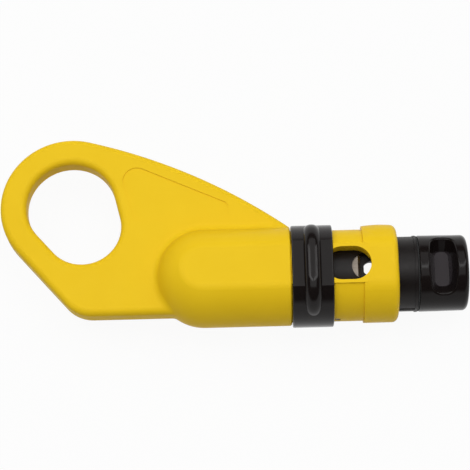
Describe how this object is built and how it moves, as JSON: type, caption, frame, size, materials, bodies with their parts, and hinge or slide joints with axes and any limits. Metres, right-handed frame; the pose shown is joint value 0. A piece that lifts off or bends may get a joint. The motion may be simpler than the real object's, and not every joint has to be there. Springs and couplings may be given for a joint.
{
  "type": "coaxial cable stripper",
  "caption": "Hand tool with a finger loop, a sprung plunger carrying blades in a windowed barrel, and a sliding ring, for stripping coaxial cable.",
  "frame": {"origin": "middle of the bounding box's lowest face, under the tool as it lies on its back", "axes": "+X along the barrel from the finger loop towards the cap, +Y towards the loop's side, +Z out of the front face with the cable window"},
  "size_m": [0.1486, 0.0638, 0.0306],
  "materials": {
    "handle_yellow": "satin moulded, fine texture",
    "barrel_yellow": "satin moulded",
    "screw_steel": "plated",
    "spring_steel": "drawn wire",
    "plunger_black": "satin moulded",
    "blade_steel": "ground",
    "cap_black": "semi-gloss moulded",
    "seal_rubber": "moulded",
    "ring_black": "semi-gloss moulded"
  },
  "bodies": {
    "handle_body": {"handle": "handle_yellow", "barrel": "barrel_yellow", "guide_pin_upper": "screw_steel", "guide_pin_lower": "screw_steel", "spring_seat": "screw_steel", "return_spring": "spring_steel", "barrel_screw_1": "screw_steel", "barrel_screw_2": "screw_steel"},
    "plunger_body": {"plunger": "plunger_black", "plunger_cap": "cap_black", "cap_seal_ring": "seal_rubber", "cap_washer": "screw_steel", "cap_screw": "screw_steel", "jacket_blade": "blade_steel", "core_blade": "blade_steel", "blade_spacer": "plunger_black", "blade_retainer": "plunger_black", "retainer_screw_1": "screw_steel", "retainer_screw_2": "screw_steel"},
    "ring_body": {"slide_ring": "ring_black"}
  },
  "joints": [
    {"name": "plunger_push", "type": "slide", "parent": "handle_body", "child": "plunger_body", "axis": [-1, 0, 0], "range_m": [0, 0.00515], "stiffness_N_per_m": 1500, "springref_m": -0.003, "deforming": ["return_spring"]},
    {"name": "ring_slide", "type": "slide", "parent": "handle_body", "child": "ring_body", "axis": [1, 0, 0], "range_m": [0, 0.00925]}
  ]
}
